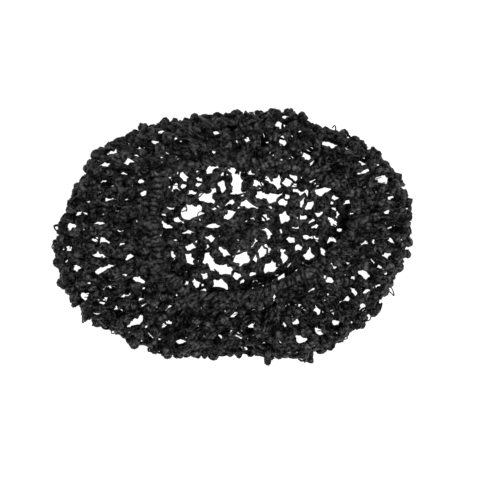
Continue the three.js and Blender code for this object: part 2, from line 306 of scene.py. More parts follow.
def around(column, angle):
    """A column of SECTIONS at any angle, by a smooth closed curve through its rows."""
    values = SECTIONS[:, column]
    place = (np.asarray(angle) / TURN) % 1 * len(values)
    row = np.floor(place).astype(int)
    t = place - row
    a, b, c, d = (values[(row + k) % len(values)] for k in (-1, 0, 1, 2))
    return b + 0.5 * t * (c - a + t * (2 * a - 5 * b + 4 * c - d + t * (3 * (b - c) + d - a)))


def crease(column, angle):
    """How deep the creases are at an angle."""
    away = np.degrees(np.asarray(angle))[..., None] - CREASES[:, AT]
    away = (away + 180) % 360 - 180
    return (CREASES[:, column] * np.exp(-((away / CREASES[:, SPREAD]) ** 2))).sum(-1)


def unit(vectors):
    """Vectors of length one."""
    return vectors / np.maximum(np.linalg.norm(vectors, axis=-1, keepdims=True), TINY)


def hump(place, start, span):
    """A smooth hill of height one that starts at a place and ends a span further on."""
    return np.sin(math.pi * np.clip((place - start) / span, 0, 1)) ** 2


def bezier(points, count):
    """Points along cubic curves, each given by four points."""
    t = np.linspace(0, 1, count)[None, :, None]
    a, b, c, d = (p[:, None, :] for p in points)
    return (1 - t) ** 3 * a + 3 * t * (1 - t) ** 2 * b + 3 * t * t * (1 - t) * c + t ** 3 * d


def smooth_noise(rows, columns, row_reach, column_reach):
    """Random hills and hollows on a table that closes on itself, with a spread of one."""
    waves = np.fft.fft2(rng.normal(0, 1, (rows, columns)))
    u = np.fft.fftfreq(rows)[:, None] * row_reach
    v = np.fft.fftfreq(columns)[None] * column_reach
    hills = np.fft.ifft2(waves * np.exp(-2 * math.pi**2 * (u * u + v * v))).real
    return hills / hills.std()


def plan(xy, z):
    """Points in plan, with their heights."""
    return np.concatenate([xy, np.broadcast_to(np.asarray(z, float), (len(xy),))[:, None]], 1)


class Pouch:
    """The middle of the net as a table of points: rows go round, and columns go from the centre
    to the band."""

    ROWS = 360
    COLUMNS = 260
    CURVE_POINTS = 60

    def __init__(self, shift):
        angle = np.arange(self.ROWS) / self.ROWS * TURN
        self.points, self.place, self.length = self.sample(self.sections(angle))
        ruffled = hump(self.place, RUFFLE_START, RUFFLE_SPAN)
        self.points[..., 2] += GATHER_DEPTH * ruffled * np.cos(GATHERS * angle)[:, None]
        self.points[..., :2] += shift
        self.facing = self.face()
        self.points += self.facing * self.swell()[..., None]
        self.facing = self.face()

    def sections(self, angle):
        """Each row's line from the centre, along the floor, up round the roll and in to the band."""
        turn = np.stack([np.cos(angle), np.sin(angle)], 1)
        share = (around(OUTLINE, angle) * (1 - crease(DRAW, angle)))[:, None]
        outline = turn * share * [LENGTH / 2 - HALF_WALL, WIDTH / 2 - HALF_WALL]
        reach = around(MOUTH, angle)[:, None] * [MOUTH_LENGTH / 2, MOUTH_WIDTH / 2]
        mouth = MOUTH_PLACE + turn * (reach + BAND_WIDTH / 2)
        sink = crease(SINK, angle)
        rise = (HEIGHT - NET_WALL - GATHER_DEPTH) * around(ROLL, angle)
        crest = HALF_WALL + rise * (1 - sink)
        widest = HALF_WALL + (crest - HALF_WALL) * WIDEST_SHARE
        inward = unit(CENTRE_PLACE - outline)
        to_mouth = unit(mouth - outline)
        lift = outline + inward * ROLL_RUN_LOW
        top = outline + to_mouth * ROLL_RUN_TOP
        band_z = HALF_WALL + rise * (1 - sink * SINK_AT_BAND) - MOUTH_DIP
        low = bezier([
            plan(lift, HALF_WALL),
            plan(lift - inward * ROLL_RUN_LOW * QUARTER_HANDLE, HALF_WALL),
            plan(outline, widest - (widest - HALF_WALL) * QUARTER_HANDLE),
            plan(outline, widest),
        ], self.CURVE_POINTS)
        high = bezier([
            plan(outline, widest),
            plan(outline, widest + (crest - widest) * QUARTER_HANDLE),
            plan(top - to_mouth * ROLL_RUN_TOP * QUARTER_HANDLE, crest),
            plan(top, crest),
        ], self.CURVE_POINTS)
        span = np.linalg.norm(plan(mouth, band_z) - plan(top, crest), axis=1)[:, None]
        inner = bezier([
            plan(top, crest),
            plan(top + to_mouth * span / 3, crest),
            plan(mouth + (top - mouth) / 3, band_z + MOUTH_DIP * BAND_HANDLE),
            plan(mouth, band_z),
        ], self.CURVE_POINTS)
        centre = plan(np.repeat(CENTRE_PLACE[None], self.ROWS, 0), HALF_WALL)
        return np.concatenate([centre[:, None], low, high[:, 1:], inner[:, 1:]], 1)

    def sample(self, line):
        """Even points along each row's line up to the band's outer edge, their places, and the
        line's length up to there."""
        steps = np.linalg.norm(np.diff(line, axis=1), axis=2)
        along = np.concatenate([np.zeros((self.ROWS, 1)), np.cumsum(steps, 1)], 1)
        flat_length = along[:, 1]
        length = along[:, -1] - BAND_WIDTH / 2
        share = np.linspace(0, 1, self.COLUMNS)
        points = np.empty((self.ROWS, self.COLUMNS, 3))
        for row in range(self.ROWS):
            for axis in range(3):
                points[row, :, axis] = np.interp(
                    share * length[row], along[row], line[row, :, axis]
                )
        ahead = share[None] * length[:, None] - flat_length[:, None]
        place = np.where(
            ahead < 0,
            share[None] * length[:, None] / flat_length[:, None],
            1 + ahead / (length - flat_length)[:, None],
        )
        return points, place, length

    def swell(self):
        """How far the yarn stands out of the middle of the net: puckered, and sunk at the band."""
        rising = np.clip((self.place - PUCKER_START) / PUCKER_RISE, 0, 1)
        falling = np.clip((BAND_PLACE - self.place) / PUCKER_FALL, 0, 1)
        hills = smooth_noise(self.ROWS, self.COLUMNS, HILL_ROWS, HILL_COLUMNS)
        swell = rising * falling * (SWELL + PUCKER * np.clip(hills, *HILL_LIMITS))
        return swell - TRENCH * hump(self.place, TRENCH_START, TRENCH_SPAN)

    def face(self):
        """The way out of the pouch at every point."""
        down = np.gradient(self.points, axis=1)
        across = np.roll(self.points, -1, 0) - np.roll(self.points, 1, 0)
        across[:, 0] = across[:, 1]
        return unit(np.cross(across, down))

    def read(self, table, flat):
        """A table's values where points of the flat map lie."""
        angle = np.arctan2(flat[..., 1], flat[..., 0]) % TURN
        row = angle / TURN * self.ROWS
        i = np.floor(row).astype(int) % self.ROWS
        f = row - np.floor(row)
        j = (i + 1) % self.ROWS
        length = self.length[i] * (1 - f) + self.length[j] * f
        column = np.clip(np.hypot(flat[..., 0], flat[..., 1]) / length, 0, 1)
        column = column * (self.COLUMNS - 1)
        k = np.minimum(np.floor(column).astype(int), self.COLUMNS - 2)
        g = column - k
        if table.ndim == 3:
            f, g = f[..., None], g[..., None]
        low = table[i, k] * (1 - g) + table[i, k + 1] * g
        high = table[j, k] * (1 - g) + table[j, k + 1] * g
        return low * (1 - f) + high * f

    def lay(self, flat, out=0.0):
        """Points of the flat map laid on the pouch, and moved out of it."""
        out = np.asarray(out, float)[..., None]
        return self.read(self.points, flat) + self.read(self.facing, flat) * out

    def find(self, spot, top):
        """The flat map's point over a place in plan, on the upper or the lower side, and how far
        in plan it misses the place."""
        side = self.place > SIDE_PLACE if top else self.place <= SIDE_PLACE
        away = np.hypot(*(self.points[..., :2] - spot).transpose(2, 0, 1))
        away += np.where(side, 0, FAR)
        row, column = np.unravel_index(np.argmin(away), away.shape)
        reach = column / (self.COLUMNS - 1) * self.length[row]
        angle = row / self.ROWS * TURN
        return np.array([math.cos(angle), math.sin(angle)]) * reach, away[row, column]


def tubes(paths, width, depth, up, turn, sides, closed):
    """Flattened tubes along paths of shape (tubes, points, 3), with closed ends.

    Returns their points, and faces and uv, each as one table per number of corners.
    """
    count, steps = paths.shape[:2]
    if closed:
        tangent = unit(np.roll(paths, -1, 1) - np.roll(paths, 1, 1))
    else:
        tangent = unit(np.gradient(paths, axis=1))
    side = unit(np.cross(tangent, up))
    lift = np.cross(side, tangent)
    round_ = np.arange(sides) / sides * TURN
    w = width[..., None] * np.cos(round_)
    d = depth[..., None] * np.sin(round_)
    c, s = np.cos(turn)[..., None], np.sin(turn)[..., None]
    a, b = w * c - d * s, w * s + d * c
    points = (
        paths[:, :, None] + side[:, :, None] * a[..., None] + lift[:, :, None] * b[..., None]
    )
    rings = np.arange(count * steps * sides).reshape(count, steps, sides)
    index, ahead = rings, np.roll(rings, -1, 1)
    if not closed:
        index, ahead = index[:, :-1], ahead[:, :-1]
    quads = np.stack([index, ahead, np.roll(ahead, -1, 2), np.roll(index, -1, 2)], -1)
    faces, uvs = [quads.reshape(-1, 4)], [tube_uv(paths, index, sides)]
    if not closed:
        faces.append(np.concatenate([rings[:, 0], rings[:, -1, ::-1]]))
        uvs.append(np.zeros((faces[1].size, 2)))
    return points.reshape(-1, 3), faces, uvs


LONGEST_UV_START = 500  # the filaments of no two tubes match


def tube_uv(paths, index, sides):
    """UV of the quads of tubes: u is the length along, from a random start, and v goes round."""
    gaps = np.linalg.norm(np.diff(paths, axis=1), axis=2)
    run = np.concatenate([np.zeros((len(paths), 1)), np.cumsum(gaps, 1)], 1)
    run = run[:, : index.shape[1]] + rng.uniform(0, LONGEST_UV_START, (len(paths), 1))
    step = gaps.mean(1)[:, None, None]
    u = np.broadcast_to(run[..., None], index.shape)
    v = np.broadcast_to(np.arange(sides) / sides, index.shape)
    corners = [(u, v), (u + step, v), (u + step, v + 1 / sides), (u, v + 1 / sides)]
    return np.stack([np.stack(corner, -1) for corner in corners], -2).reshape(-1, 2)


def make_mesh(name, parts, material):
    """One mesh object of several sets of tubes, in metres."""
    start = 0
    points, corners, sizes, uvs = [], [], [], []
    for tube_points, faces, tube_uvs in parts:
        points.append(tube_points)
        for table in faces:
            corners.append(table.ravel() + start)
            sizes.append(np.full(len(table), table.shape[1]))
        uvs += tube_uvs
        start += len(tube_points)
    points, corners, sizes, uvs = (np.concatenate(x) for x in (points, corners, sizes, uvs))
    mesh = bpy.data.meshes.new(name)
    mesh.vertices.add(len(points))
    mesh.vertices.foreach_set("co", (points * MM).astype(np.float32).ravel())
    mesh.loops.add(len(corners))
    mesh.loops.foreach_set("vertex_index", corners.astype(np.int32))
    mesh.polygons.add(len(sizes))
    mesh.polygons.foreach_set("loop_start", (np.cumsum(sizes) - sizes).astype(np.int32))
    mesh.polygons.foreach_set("use_smooth", np.ones(len(sizes), bool))
    layer = mesh.uv_layers.new(name="UVMap")
    layer.data.foreach_set("uv", uvs.astype(np.float32).ravel())
    mesh.update(calc_edges=True)
    mesh.validate()
    mesh.materials.append(material)
    made = bpy.data.objects.new(name, mesh)
    bpy.context.scene.collection.objects.link(made)
    return made


# The pouch and the charted gaps, moved to where the solids stand in the frame.
low_corner, high_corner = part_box("crown_centre")
built_centre = (np.array(low_corner) + np.array(high_corner))[:2] / 2 / MM
shift = built_centre - CENTRE_PLACE
pouch = Pouch(shift)
frame_shift = np.array([*shift, 0, 0, 0])
crown_gaps = CROWN_GAPS + frame_shift
ring_gaps = RING_GAPS + frame_shift

# A gap's edge has three to five soft corners. Its depth and size are shares of the charted size.
FEWEST_CORNERS, CORNER_COUNTS = 3, 3
CORNER_DEPTH = 0.17
CORNER_TURN = 2.1  # radians from one gap to the next
EDGE_SHARE = 0.97
GAP_ROUNDNESS = 1.4  # 2 is an ellipse, and less is more pointed
LEAST_REACH = 0.05


def open_gaps(paths, gaps, margin):
    """Moves points out of the gaps, in plan."""
    flat = paths.reshape(-1, 3)
    margin = margin.reshape(-1, 1)
    for index, (x, y, wide, high, degrees) in enumerate(gaps):
        c, s = math.cos(math.radians(degrees)), math.sin(math.radians(degrees))
        away = flat[:, :2] - [x, y]
        near = np.abs(away).max(1) < max(wide, high)
        local = away[near] @ np.array([[c, -s], [s, c]])
        local /= np.array([wide, high]) / 2 + margin[near]
        round_ = np.arctan2(local[:, 1], local[:, 0])
        corners = FEWEST_CORNERS + index % CORNER_COUNTS
        edge = EDGE_SHARE + CORNER_DEPTH * np.cos(corners * round_ + CORNER_TURN * index)
        reach = (np.abs(local) ** GAP_ROUNDNESS).sum(1) ** (1 / GAP_ROUNDNESS)
        push = np.maximum(edge / np.maximum(reach, LEAST_REACH), 1) - 1
        flat[near, :2] += away[near] * push[:, None]
    return flat.reshape(paths.shape)


def pushed(paths, margin, of_place):
    """Keeps yarn out of the charted gaps: those of the crown only where the net lies flat."""
    flat = of_place < FLAT_PLACE
    paths = paths.copy()
    margin = np.broadcast_to(margin, (*paths.shape[:-1], 1))
    paths[flat] = open_gaps(paths[flat], crown_gaps, margin[flat])
    return open_gaps(paths, ring_gaps, margin)


# The seeds of the gaps on the flat map. Charted gaps come first, and smaller ones fill the rest:
# they keep off the charted ones, spill a little over the band's edge, and lie SPACINGS apart at
# the distances SPACING_AT from the centre.
LONG_GAPS = (1.5, 2.4)  # a gap this many times as long as it is wide takes a seed more
CHARTED_FILL = 3.0
MOST_MISS = 2  # a ring gap has a seed on each side of the pouch that lies this near to it in plan
SEED_TRIES = 30000
MAP_REACH = 200
BAND_SPILL = 8
SPACING_AT = np.array([0, 55, 75, 130, 180])
SPACINGS = np.array([6.4, 6.6, 8.0, 9.8, 10.6])


def gap_seeds(gap):
    """One seed for a round gap, or several along a long one."""
    x, y, wide, high, degrees = gap
    long_side, short_side = max(wide, high), min(wide, high)
    count = 1 + sum(int(long_side / short_side >= limit) for limit in LONG_GAPS)
    turn = math.radians(degrees + (90 if high > wide else 0))
    reach = (long_side - short_side) / 2
    for share in np.linspace(-1, 1, count) if count > 1 else [0]:
        yield np.array([x + math.cos(turn) * reach * share, y + math.sin(turn) * reach * share])


def charted_seeds():
    """Seeds of the charted gaps, the gap that each belongs to, and how far others keep off."""
    seeds, groups, keep_off = [], [], []
    for gap in crown_gaps:
        for spot in gap_seeds(gap):
            seeds.append(spot - built_centre)
            groups.append(len(keep_off))
        keep_off.append(min(gap[2:4]) / 2 + CHARTED_FILL)
    for gap in ring_gaps:
        for top in (False, True):
            for seed in gap_seeds(gap):
                spot, miss = pouch.find(seed, top)
                if miss < MOST_MISS:
                    seeds.append(spot)
                    groups.append(len(keep_off))
            keep_off.append(min(gap[2:4]) / 2 + CHARTED_FILL)
    return np.array(seeds), np.array(groups), np.array(keep_off)[groups]


def filled(seeds, keep_off):
    """The charted seeds and random ones between them, wider apart far from the centre."""
    charted = len(seeds)
    for spot in rng.uniform(-MAP_REACH, MAP_REACH, (SEED_TRIES, 2)):
        reach = math.hypot(*spot)
        row = int(math.atan2(spot[1], spot[0]) % TURN / TURN * pouch.ROWS) % pouch.ROWS
        if reach > pouch.length[row] + BAND_SPILL:
            continue
        spacing = np.interp(reach, SPACING_AT, SPACINGS)
        away = np.hypot(*(seeds - spot).T)
        if np.any(away[:charted] < keep_off) or np.any(away < spacing):
            continue
        seeds = np.concatenate([seeds, spot[None]])
    return seeds


# The net between the seeds: a knot in each triangle of neighbouring gaps, and a link of yarn
# between two knots whose triangles share a side. Knots are kept up to LAST_KNOT past the band's
# edge.
KNOT_SCATTER = 0.35
LAST_KNOT = 2
SAME_POINT = 1e-5


def net_of(seeds, groups):
    """Knots on the flat map, and pairs of them that are linked. No link crosses a gap."""
    made = delaunay_2d_cdt([Vector(seed) for seed in seeds], [], [], 0, SAME_POINT)
    spots = np.array([list(spot) for spot in made[0]])
    faces = np.array([face for face in made[2] if len(face) == 3])
    group_of = groups[[origin[0] for origin in made[3]]]
    knots = spots[faces].mean(1)
    knots += rng.normal(0, KNOT_SCATTER, knots.shape)
    sharing = {}
    for face, (a, b, c) in enumerate(faces):
        for pair in ((a, b), (b, c), (c, a)):
            sharing.setdefault(frozenset(pair), []).append(face)
    links = np.array([
        pair for ends, pair in sharing.items()
        if len(pair) == 2 and len({int(group_of[end]) for end in ends}) == 2
    ])
    return knots, links


# Each random gap is a group of its own.
seeds, groups, keep_off = charted_seeds()
all_seeds = filled(seeds, keep_off)
own_groups = len(crown_gaps) + 2 * len(ring_gaps) + np.arange(len(all_seeds) - len(seeds))
knots, links = net_of(all_seeds, np.concatenate([groups, own_groups]))
knot_place = pouch.read(pouch.place, knots)
knot_row = (np.arctan2(knots[:, 1], knots[:, 0]) % TURN / TURN * pouch.ROWS).astype(int)
on_pouch = np.hypot(*knots.T) < pouch.length[knot_row % pouch.ROWS] + LAST_KNOT
links = links[on_pouch[links].all(1)]
link_place = knot_place[links].mean(1)

# How strands run from knot to knot: how near they come to a gap, how far they stray to the side
# and out of the pouch, and how far a gap may stretch them.
EDGE_MARGIN = (-0.25, 1.0)
SIDE_SCATTER = 0.25
BULGE = 0.6
CROSSED_SHARE = 0.3
OUT_SCATTER = 0.5
LINK_SAG, SAG_SCATTER = 0.6, 0.8
LOWEST_STRAND = 1.2
MOST_STRETCH, STRETCH_SLACK = 1.8, 1.2


def link_paths(chosen, width, strands, steps=7):
    """Strands from knot to knot, side by side and a little apart, some of them crossed. Those that
    a gap would stretch too far are left out."""
    count = len(chosen)
    start, end = knots[chosen[:, 0]], knots[chosen[:, 1]]
    t = np.linspace(0, 1, steps)[None, :, None]
    arch = np.sin(math.pi * t)
    line = start[:, None] * (1 - t) + end[:, None] * t
    across = unit(np.stack([-(end - start)[:, 1], (end - start)[:, 0]], 1))[:, None]
    made = []
    for strand in range(strands):
        pitch = width / strands
        side = (strand - (strands - 1) / 2) * pitch + rng.normal(0, SIDE_SCATTER, (count, 1, 1))
        bulge = arch * rng.normal(0, BULGE, (count, 1, 1))
        crossed = np.where(rng.random((count, 1, 1)) < CROSSED_SHARE, 1 - 2 * t, 1)
        out = rng.normal(0, OUT_SCATTER, (count, 1))
        out = out + arch[..., 0] * rng.normal(-LINK_SAG, SAG_SCATTER, (count, 1))
        made.append(pouch.lay(line + across * (side * crossed + bulge), out))
    paths = np.concatenate(made)
    of_place = np.tile((knot_place[chosen[:, 0]] + knot_place[chosen[:, 1]]) / 2, strands)
    margin = rng.uniform(*EDGE_MARGIN, (len(paths), 1, 1))
    moved = pushed(paths, margin, of_place)
    moved[..., 2] = np.maximum(moved[..., 2], LOWEST_STRAND)
    before = np.linalg.norm(np.diff(paths, axis=1), axis=2).max(1)
    after = np.linalg.norm(np.diff(moved, axis=1), axis=2).max(1)
    return moved[after < before * MOST_STRETCH + STRETCH_SLACK]


# A strand's section: shares of its radius and of its width, and how it lies and turns.
STRAND_WIDTH = (0.85, 1.3)
STRAND_DEPTH = (0.55, 0.85)
STRAND_END = 0.72
STRAND_TWIST = 1.6
STRAND_LEAN = 0.2


def strand_tubes(paths, radius, sides=4):
    """Tape yarn along open paths: flattened, turning over, and thinner at its ends."""
    count, steps = paths.shape[:2]
    along = np.linspace(0, 1, steps)
    ends = STRAND_END + (1 - STRAND_END) * np.sin(math.pi * along) ** 0.5
    width = radius * rng.uniform(*STRAND_WIDTH, (count, 1)) * ends
    depth = width * rng.uniform(*STRAND_DEPTH, (count, 1))
    turn = rng.uniform(0, TURN, (count, 1))
    turn = turn + along * rng.normal(0, STRAND_TWIST, (count, 1))
    up = unit(rng.normal(0, 1, (count, 1, 3)) * STRAND_LEAN + UP)
    return tubes(paths, width, depth, up, turn, sides, closed=False)


# Wisps: how they reach out and bend, and how thin they are. Stray loops have the same flatness.
WISP_REACH = (2.5, 6.0)
WISP_BEND = 1.2
WISP_OUT, WISP_SCATTER = 0.4, 0.9
WISP_RADIUS = (0.25, 0.45)
LOWEST_WISP = 0.6
THIN_FLATNESS = 0.8


def wisp_tubes(chosen, count, steps=8):
    """Thin wisps that have slipped out of the yarn, some of them across a gap."""
    root = knots[rng.choice(chosen, count)]
    t = np.linspace(0, 1, steps)[None, :, None]
    heading = rng.uniform(0, TURN, count)
    ahead = np.stack([np.cos(heading), np.sin(heading)], 1)[:, None]
    aside = ahead[..., ::-1] * [-1, 1]
    reach = rng.uniform(*WISP_REACH, (count, 1, 1))
    bend = rng.normal(0, WISP_BEND, (count, 1, 1))
    flat = root[:, None] + ahead * reach * t + aside * bend * np.sin(math.pi * t)
    paths = pouch.lay(flat, rng.normal(WISP_OUT, WISP_SCATTER, (count, 1)) * np.ones(steps))
    paths[..., 2] = np.maximum(paths[..., 2], LOWEST_WISP)
    thin = rng.uniform(*WISP_RADIUS, (count, 1)) * np.ones(steps)
    return tubes(paths, thin, thin * THIN_FLATNESS, UP, thin * 0, sides=3, closed=False)


# A knot's loops: how they lean, their shares of the knot's reach, and their section.
LOOP_LEAN = 0.6
LOOP_LENGTH = (0.65, 1.15)
LOOP_NARROWNESS = (0.5, 0.95)
LOOP_WAVE = 0.22
LOOP_SCATTER = 0.5
LOOP_MARGIN = (0.3, 1.1)
LOOP_CLEARANCE = 1.1
LOOP_WIDTH = (0.85, 1.25)
LOOP_DEPTH = (0.6, 0.9)


def knot_tubes(centres, facing, of_place, reach, radius, loops, steps=10, sides=5):
    """Clusters of small loops, which make a knot."""
    count = len(centres)
    t = np.arange(steps) / steps * TURN
    made = []
    for _ in range(loops):
        axis = unit(rng.normal(0, 1, (count, 3)) + facing * LOOP_LEAN)
        first = unit(np.cross(axis, rng.normal(0, 1, (count, 3))))
        second = np.cross(axis, first)
        size = reach * rng.uniform(*LOOP_LENGTH, (count, 1, 1))
        narrow = rng.uniform(*LOOP_NARROWNESS, (count, 1, 1))
        wave = LOOP_WAVE * np.sin(2 * t + rng.uniform(0, TURN, (count, 1)))[..., None]
        offset = rng.normal(0, LOOP_SCATTER, (count, 1, 3))
        loop = (
            centres[:, None] + offset
            + size * first[:, None] * np.cos(t)[None, :, None]
            + size * narrow * second[:, None] * np.sin(t)[None, :, None]
            + size * wave * axis[:, None]
        )
        loop = pushed(loop, radius * rng.uniform(*LOOP_MARGIN, (count, 1, 1)), of_place)
        loop[..., 2] = np.maximum(loop[..., 2], radius * LOOP_CLEARANCE)
        width = radius * rng.uniform(*LOOP_WIDTH, (count, 1)) * np.ones(steps)
        depth = width * rng.uniform(*LOOP_DEPTH, (count, 1))
        turn = rng.uniform(0, TURN, (count, 1)) + np.zeros(steps)
        made.append(tubes(loop, width, depth, axis[:, None], turn, sides, closed=True))
    return made


def add_noise(tree, vector, scale, detail):
    """A noise texture's values."""
    noise = tree.nodes.new("ShaderNodeTexNoise")
    noise.inputs["Scale"].default_value = scale
    noise.inputs["Detail"].default_value = detail
    tree.links.new(vector, noise.inputs["Vector"])
    return noise.outputs["Fac"]


def add_bump(tree, height, strength, distance):
    """A bump node, whose own Normal input is still free."""
    bump = tree.nodes.new("ShaderNodeBump")
    bump.inputs["Strength"].default_value = strength
    bump.inputs["Distance"].default_value = distance
    tree.links.new(height, bump.inputs["Height"])
    return bump


def add_ramp(tree, value, positions, colours):
    """Colours between two stops, by a value."""
    ramp = tree.nodes.new("ShaderNodeValToRGB")
    for stop, position, colour in zip(ramp.color_ramp.elements, positions, colours):
        stop.position = position
        stop.color = (*colour, 1)
    tree.links.new(value, ramp.inputs["Fac"])
    return ramp.outputs["Color"]


# The yarn's look. A noise has a scale and a detail, a bump its strength and its distance in metres,
# and stops are places on a ramp.
ROUGHNESS = 0.34
SPECULAR = 0.13
FILAMENT_STRETCH = (0.35, 9, 1)
FILAMENT_SCALE, FILAMENT_DETAIL = 1.6, 4
FILAMENT_BUMP = (0.7, 0.0005)
FOLD_SCALE, FOLD_DETAIL = 750, 2
FOLD_BUMP = (0.9, 0.0006)
BLOTCH_SCALE, BLOTCH_DETAIL = 520, 4
BLOTCH_STOPS = (0.4, 0.65)
# Painted shade: coarse random patches that darken the yarn's colour, standing in for the shade in
# hollows and folds.
PAINTED_SHADE_SCALE, PAINTED_SHADE_DETAIL = 170, 2
PAINTED_SHADE_STOPS = (0.43, 0.62)
DARK_BLUE, LIGHT_BLUE = 1.03, 1.02


def yarn_material(name, dark, light, painted_shade_factor):
    """Black tape yarn: fine filaments along it, small folds, uneven blacks, and a soft lustre. Its
    blacks run from dark to light. Coarse random patches of painted shade multiply them by the last
    argument, standing in for the shade in hollows and folds."""
    material = bpy.data.materials.new(name)
    material.use_nodes = True
    tree = material.node_tree
    shader = tree.nodes["Principled BSDF"]
    shader.inputs["Roughness"].default_value = ROUGHNESS
    shader.inputs["Specular IOR Level"].default_value = SPECULAR
    coordinates = tree.nodes.new("ShaderNodeTexCoord")
    stretch = tree.nodes.new("ShaderNodeMapping")
    stretch.inputs["Scale"].default_value = FILAMENT_STRETCH
    tree.links.new(coordinates.outputs["UV"], stretch.inputs["Vector"])
    along = stretch.outputs["Vector"]
    here = coordinates.outputs["Object"]
    filaments = add_bump(tree, add_noise(tree, along, FILAMENT_SCALE, FILAMENT_DETAIL), *FILAMENT_BUMP)
    folds = add_bump(tree, add_noise(tree, here, FOLD_SCALE, FOLD_DETAIL), *FOLD_BUMP)
    tree.links.new(filaments.outputs["Normal"], folds.inputs["Normal"])
    tree.links.new(folds.outputs["Normal"], shader.inputs["Normal"])
    blacks = add_ramp(
        tree,
        add_noise(tree, here, BLOTCH_SCALE, BLOTCH_DETAIL),
        BLOTCH_STOPS,
        ((dark, dark, dark * DARK_BLUE), (light, light, light * LIGHT_BLUE)),
    )
    # Painted shade: the blacks are multiplied down in coarse random patches.
    painted_shade_zones = add_ramp(
        tree,
        add_noise(tree, here, PAINTED_SHADE_SCALE, PAINTED_SHADE_DETAIL),
        PAINTED_SHADE_STOPS,
        ((painted_shade_factor, painted_shade_factor, painted_shade_factor), (1, 1, 1)),
    )
    mix = tree.nodes.new("ShaderNodeMix")
    mix.data_type = "RGBA"
    mix.blend_type = "MULTIPLY"
    mix.inputs["Factor"].default_value = 1
    tree.links.new(blacks, mix.inputs["A"])
    tree.links.new(painted_shade_zones, mix.inputs["B"])
    tree.links.new(mix.outputs["Result"], shader.inputs["Base Color"])
    return material


# One yarn in three copies. They differ mostly in how deep their painted shade patches are: deepest on
# the net, a little less on the crown, least on the band.
crown_yarn = yarn_material("crown_yarn", 0.001, 0.077, 0.12)
net_yarn = yarn_material("net_yarn", 0.001, 0.077, 0.1)
band_yarn = yarn_material("band_yarn", 0.001, 0.078, 0.35)

# The net, in the same three lengths as the solids. A piece has the knots and links whose place
# lies between start and end.
PIECES = [
    # name, node, start, end, width of a link, reach and rise of a knot, wisps
    ("crown", "crown_net", -math.inf, 1.0, 5.0, 1.8, 0.3, 180),
    ("side", "side_net", 1.0, SIDE_PLACE, 4.2, 2.15, 0.4, 260),
    ("rim", "rim_net", SIDE_PLACE, math.inf, 4.2, 2.15, 0.5, 420),
]
CENTRE_FREE = 6  # links nearer to the centre are left out
THICK_SHARE = 0.5
DENSE_WIDTH = 6.6
DENSE_RADIUS, THICK_RADIUS, THIN_RADIUS = 1.05, 1.28, 0.9
RISE_SCATTER = 0.6
KNOT_MARGIN = 1.9
KNOT_RADIUS = 1.28
OUTER_REACH, OUTER_RADIUS = 1.35, 0.7
PUFF_PLACE, PUFF_RADIUS = 1.4, 0.9
FOLD_PLACE, FOLD_RADIUS = 1.9, 1.1
EXTRA_REACH = 3.0


def net_strands(start, end, width, wisps):
    """The strands and wisps of one length of the net. They leave the dense centre free."""
    mine = links[(link_place > start) & (link_place <= end)]
    near_centre = np.hypot(*knots[mine].mean(1).T) < CENTRE_FREE
    mine = mine[~near_centre]
    middle = pouch.lay(knots[mine].mean(1))[:, :2]
    away = np.hypot(*(middle[:, None] - DENSE_SPOTS[:, :2]).transpose(2, 0, 1))
    dense = (away < DENSE_SPOTS[:, 2]).any(1)
    tight, mine = mine[dense], mine[~dense]
    thick = rng.random(len(mine)) < THICK_SHARE
    roots = np.flatnonzero(on_pouch & (knot_place > start) & (knot_place <= end))
    return [
        strand_tubes(link_paths(tight, DENSE_WIDTH, strands=5), DENSE_RADIUS),
        strand_tubes(link_paths(mine[thick], width, strands=3), THICK_RADIUS, sides=5),
        strand_tubes(link_paths(mine[~thick], width, strands=4), THIN_RADIUS),
        wisp_tubes(roots, wisps),
    ]


def net_knots(start, end, reach, rise):
    """The knots of one length of the net: thick loops, and a wider thin one round them."""
    chosen = np.flatnonzero(on_pouch & (knot_place > start) & (knot_place <= end))
    of_place = knot_place[chosen]
    centres = pouch.lay(knots[chosen], rng.normal(rise, RISE_SCATTER, len(chosen)))[:, None]
    centres = pushed(centres, KNOT_MARGIN, of_place)[:, 0]
    facing = pouch.read(pouch.facing, knots[chosen])
    tied = knot_tubes(centres, facing, of_place, reach, KNOT_RADIUS, loops=3)
    wide_reach = reach * OUTER_REACH
    return tied + knot_tubes(centres, facing, of_place, wide_reach, OUTER_RADIUS, loops=1)


def puff_knots():
    """The puffs at the lower edge."""
    puffs = PUFFS + [*shift, 0]
    outward = unit(puffs * [1, 1, 0])
    of_place = np.full(len(puffs), PUFF_PLACE)
    return knot_tubes(puffs, outward, of_place, EXTRA_REACH, PUFF_RADIUS, loops=6)


def fold_knots():
    """The knots that close the fold beside the band."""
    found = np.array([pouch.find(spot + shift, True)[0] for spot in FOLD_KNOTS])
    facing = pouch.read(pouch.facing, found)
    of_place = np.full(len(found), FOLD_PLACE)
    return knot_tubes(pouch.lay(found), facing, of_place, EXTRA_REACH, FOLD_RADIUS, loops=4)


for name, node, start, end, width, reach, rise, wisps in PIECES:
    yarn = crown_yarn if name == "crown" else net_yarn
    rope = make_mesh(f"{name}_strands", net_strands(start, end, width, wisps), yarn)
    tied = net_knots(start, end, reach, rise)
    if name == "side":
        tied += puff_knots()
    if name == "rim":
        tied += fold_knots()
    knot_piece = make_mesh(f"{name}_knots", tied, yarn)
    for piece in (rope, knot_piece):
        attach(piece, "root")
        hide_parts(node)

# Thin loops that have slipped out along the outline: how far apart their ends are, how far they
# reach and lean, and how far one end rises or drops.
STRAYS = 14
STRAY_STEPS = 12
STRAY_SPAN = (2, 5.5)
STRAY_REACH = (1.2, 3.4)
STRAY_LEAN = 1.5
STRAY_DROP = 2
STRAY_GAP = 0.6
STRAY_SHARPNESS = 0.7
STRAY_RADIUS = 0.36


